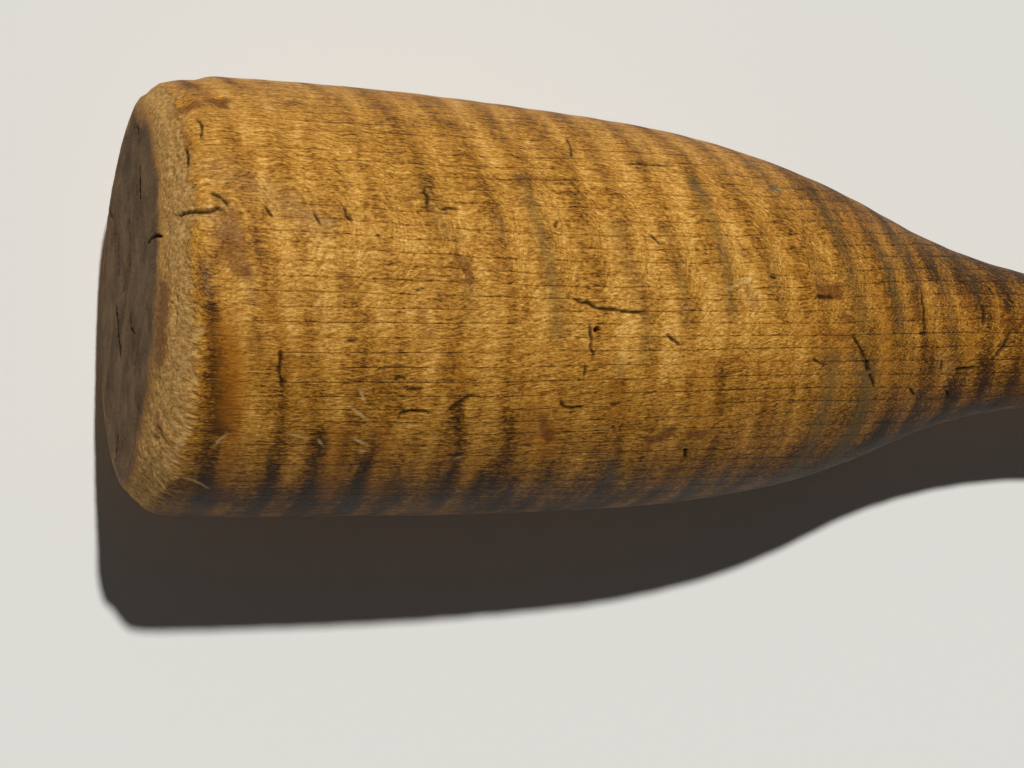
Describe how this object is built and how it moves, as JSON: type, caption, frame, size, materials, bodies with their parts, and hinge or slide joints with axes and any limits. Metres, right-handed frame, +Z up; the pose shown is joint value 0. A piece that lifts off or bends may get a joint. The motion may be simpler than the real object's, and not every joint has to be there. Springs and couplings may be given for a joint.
{
  "type": "masher",
  "caption": "Wooden masher turned in one piece: a barrel head with a flat striking face, a narrow neck, a swelling grip and a round knob, for crushing food by hand.",
  "frame": {"origin": "on the floor, under the middle of the box around the masher as it lies on its side", "axes": "+X from the striking face towards the handle's knob, level; +Z up; +Y to the left of +X, which is the upper side of the picture. The masher's own axis dips 3.13 degrees below +X, because the head's belly and the smaller knob both touch the floor"},
  "size_m": [0.3002, 0.0666, 0.0682],
  "materials": {
    "maple": "worn satin varnish over curly maple, bare and rough at the rim"
  },
  "bodies": {
    "root": {"turned_body": "maple"}
  },
  "joints": []
}
